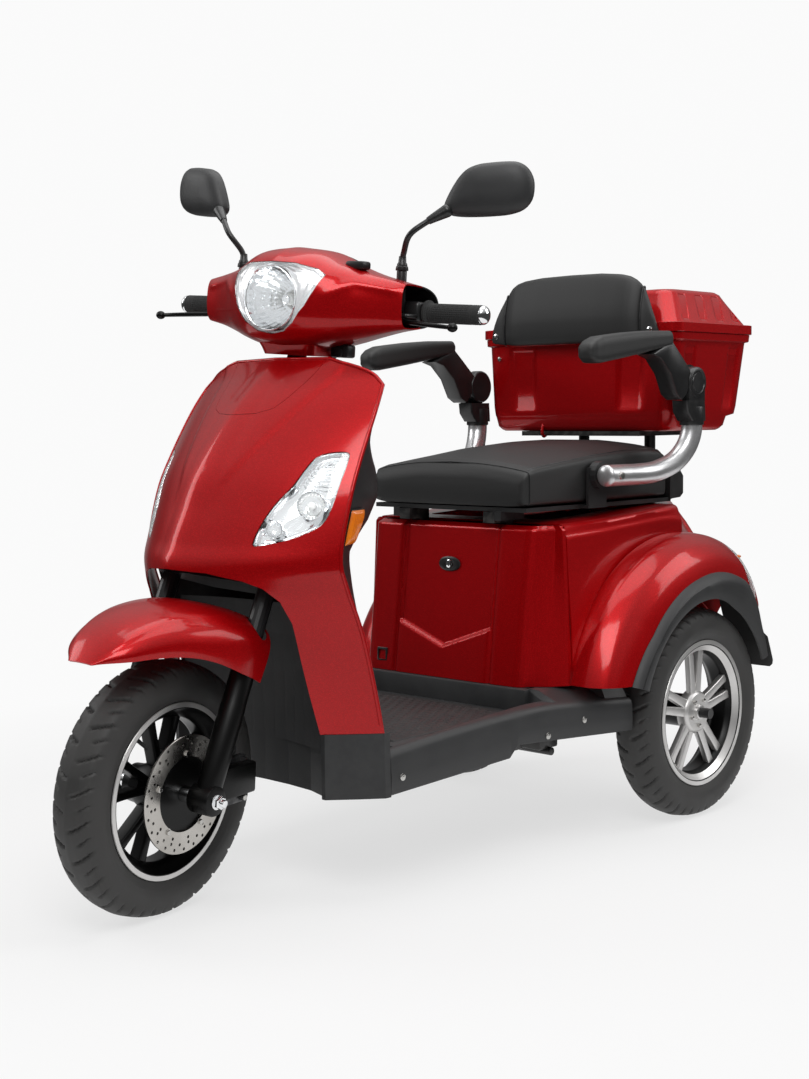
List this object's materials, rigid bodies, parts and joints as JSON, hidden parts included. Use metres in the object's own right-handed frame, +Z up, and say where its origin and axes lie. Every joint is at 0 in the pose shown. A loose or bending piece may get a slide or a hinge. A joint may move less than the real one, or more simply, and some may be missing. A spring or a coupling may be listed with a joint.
{
  "type": "three-wheel electric scooter",
  "caption": "Seated three-wheel electric scooter with a steered front wheel, suspended rear axle, sliding seat with folding armrests, and a luggage box with backrest.",
  "frame": {"origin": "on the ground under the middle of the bounding box, as it stands with the front wheel turned a little to the rider's left", "axes": "+X to the rider's left, +Y towards the rear, +Z up; the front wheel is at -Y"},
  "size_m": [0.7344, 1.6122, 1.2471],
  "materials": {
    "red_paint": "metallic red lacquer on moulded panels",
    "black_plastic": "fine grained black",
    "grey_plastic": "textured charcoal",
    "grip_rubber": "soft ribbed rubber",
    "tyre": "moulded tread",
    "leatherette": "fine grained, stitched",
    "silver_tube": "silver lacquer on bent tube",
    "machined_alloy": "machined faces, dark pockets",
    "black_alloy": "black with a machined lip",
    "steel": "bright steel",
    "black_steel": "satin black enamel",
    "clear_lens": "clear moulded lens",
    "amber_lens": "amber moulded lens",
    "reflector": "bright reflector bowl"
  },
  "bodies": {
    "chassis": {"chassis_frame": "black_steel", "floor_board": "grey_plastic", "front_shield": "red_paint", "hood_panel": "red_paint", "inner_leg_shield": "black_plastic", "wheel_arch_liner": "grey_plastic", "turn_signal_left": "amber_lens", "turn_signal_right": "amber_lens", "position_lamp_left": "clear_lens", "position_lamp_right": "clear_lens", "seat_base_front": "red_paint", "rear_body_shell": "red_paint", "fender_flare_left": "grey_plastic", "fender_flare_right": "grey_plastic", "tail_lamp_left": "clear_lens", "tail_lamp_right": "clear_lens", "battery_pack": "black_plastic", "box_base": "red_paint", "spring_left": "steel", "spring_right": "steel"},
    "steering": {"steering_stem": "black_steel", "handlebar": "steel", "grip_left": "grip_rubber", "control_perch_left": "black_plastic", "control_perch_right": "black_plastic", "head_cowl": "red_paint", "dash_cover": "black_plastic", "headlight_lens": "clear_lens", "headlight_reflector": "reflector"},
    "fork": {"fork_slider_left": "black_steel", "fork_slider_right": "black_steel", "front_axle": "steel", "front_fender": "red_paint", "brake_caliper": "black_steel", "brake_hose": "grip_rubber"},
    "front_wheel": {"front_rim": "black_alloy", "front_tyre": "tyre", "brake_disc": "steel"},
    "throttle": {"throttle_grip": "grip_rubber"},
    "lever_left": {"brake_lever_left": "black_steel"},
    "lever_right": {"brake_lever_right": "black_steel"},
    "mirror_stalk_left": {"mirror_stalk_left": "black_steel"},
    "mirror_stalk_right": {"mirror_stalk_right": "black_steel"},
    "mirror_head_left": {"mirror_head_left": "black_plastic"},
    "mirror_head_right": {"mirror_head_right": "black_plastic"},
    "swing": {"rear_axle_unit": "black_steel"},
    "rear_wheel_left": {"rear_left_rim": "machined_alloy", "rear_left_tyre": "tyre"},
    "rear_wheel_right": {"rear_right_rim": "machined_alloy", "rear_right_tyre": "tyre"},
    "seat": {"seat_pan": "black_plastic", "seat_cushion": "leatherette", "armrest_tube_left": "silver_tube", "armrest_tube_right": "silver_tube"},
    "armrest_left": {"armrest_left": "black_plastic"},
    "armrest_right": {"armrest_right": "black_plastic"},
    "lid": {"box_lid": "red_paint", "backrest_cushion": "leatherette"},
    "latch": {"box_latch": "black_plastic"},
    "key": {"key_barrel": "steel"}
  },
  "joints": [
    {"name": "steering_turn", "type": "hinge", "parent": "chassis", "child": "steering", "pos_m": [-0.00102, -0.5768, 0.19328], "axis": [0, 0.3907, 0.9205], "range_deg": [-50.6, 29.4]},
    {"name": "fork_suspension", "type": "slide", "parent": "steering", "child": "fork", "axis": [0, 0.3907, 0.9205], "range_m": [-0.01, 0.03], "stiffness_N_per_m": 20000, "springref_m": -0.0156},
    {"name": "front_wheel_spin", "type": "hinge", "parent": "fork", "child": "front_wheel", "pos_m": [0.0045, -0.60394, 0.2048], "axis": [0.9829, 0.1693, -0.0719], "continuous": true},
    {"name": "throttle_twist", "type": "hinge", "parent": "steering", "child": "throttle", "pos_m": [-0.21136, -0.23497, 0.98809], "axis": [-0.9829, -0.1693, 0.0719], "range_deg": [0, 60], "stiffness_Nm_per_rad": 0.4, "springref_deg": -11.46},
    {"name": "brake_lever_left_pull", "type": "hinge", "parent": "steering", "child": "lever_left", "pos_m": [0.18567, -0.21416, 0.94331], "axis": [0.0719, 0.0061, 0.9974], "range_deg": [0, 16], "stiffness_Nm_per_rad": 1.5, "springref_deg": -11.46},
    {"name": "mirror_stalk_left_swivel", "type": "hinge", "parent": "steering", "child": "mirror_stalk_left", "pos_m": [0.16534, -0.19586, 1.02838], "axis": [0.0719, 0.0061, 0.9974], "range_deg": [-25, 25]},
    {"name": "mirror_head_left_tilt", "type": "hinge", "parent": "mirror_stalk_left", "child": "mirror_head_left", "pos_m": [0.24064, -0.16778, 1.12254], "axis": [0.9829, 0.1693, -0.0719], "range_deg": [-10, 10]},
    {"name": "brake_lever_right_pull", "type": "hinge", "parent": "steering", "child": "lever_right", "pos_m": [-0.18981, -0.27885, 0.97077], "axis": [-0.0719, -0.0061, -0.9974], "range_deg": [0, 16], "stiffness_Nm_per_rad": 1.5, "springref_deg": -11.46},
    {"name": "mirror_stalk_right_swivel", "type": "hinge", "parent": "steering", "child": "mirror_stalk_right", "pos_m": [-0.16492, -0.25276, 1.05253], "axis": [0.0719, 0.0061, 0.9974], "range_deg": [-25, 25]},
    {"name": "mirror_head_right_tilt", "type": "hinge", "parent": "mirror_stalk_right", "child": "mirror_head_right", "pos_m": [-0.23117, -0.24906, 1.15704], "axis": [0.9829, 0.1693, -0.0719], "range_deg": [-10, 10]},
    {"name": "rear_suspension", "type": "hinge", "parent": "chassis", "child": "swing", "pos_m": [-0.00102, 0.20059, 0.22], "axis": [1, 0, 0], "range_deg": [-3, 3], "stiffness_Nm_per_rad": 8000, "springref_deg": -1.84, "deforming": ["spring_left", "spring_right"]},
    {"name": "rear_wheel_left_spin", "type": "hinge", "parent": "swing", "child": "rear_wheel_left", "pos_m": [0.28498, 0.49059, 0.205], "axis": [1, 0, 0], "continuous": true},
    {"name": "rear_wheel_right_spin", "type": "hinge", "parent": "swing", "child": "rear_wheel_right", "pos_m": [-0.28702, 0.49059, 0.205], "axis": [1, 0, 0], "continuous": true},
    {"name": "seat_slide", "type": "slide", "parent": "chassis", "child": "seat", "axis": [0, -1, 0], "range_m": [0, 0.08]},
    {"name": "armrest_left_fold", "type": "hinge", "parent": "seat", "child": "armrest_left", "pos_m": [0.27248, 0.50958, 0.847], "axis": [-1, 0, 0], "range_deg": [0, 85]},
    {"name": "armrest_right_fold", "type": "hinge", "parent": "seat", "child": "armrest_right", "pos_m": [-0.27452, 0.50958, 0.847], "axis": [-1, 0, 0], "range_deg": [0, 85]},
    {"name": "lid_open", "type": "hinge", "parent": "chassis", "child": "lid", "pos_m": [-0.00102, 0.49159, 0.934], "axis": [1, 0, 0], "range_deg": [0, 75]},
    {"name": "latch_flip", "type": "hinge", "parent": "lid", "child": "latch", "pos_m": [-0.00102, 0.80359, 0.961], "axis": [1, 0, 0], "range_deg": [0, 60]},
    {"name": "key_turn", "type": "hinge", "parent": "chassis", "child": "key", "pos_m": [-0.00102, 0.10587, 0.507], "axis": [0, -1, 0], "range_deg": [0, 90]}
  ]
}
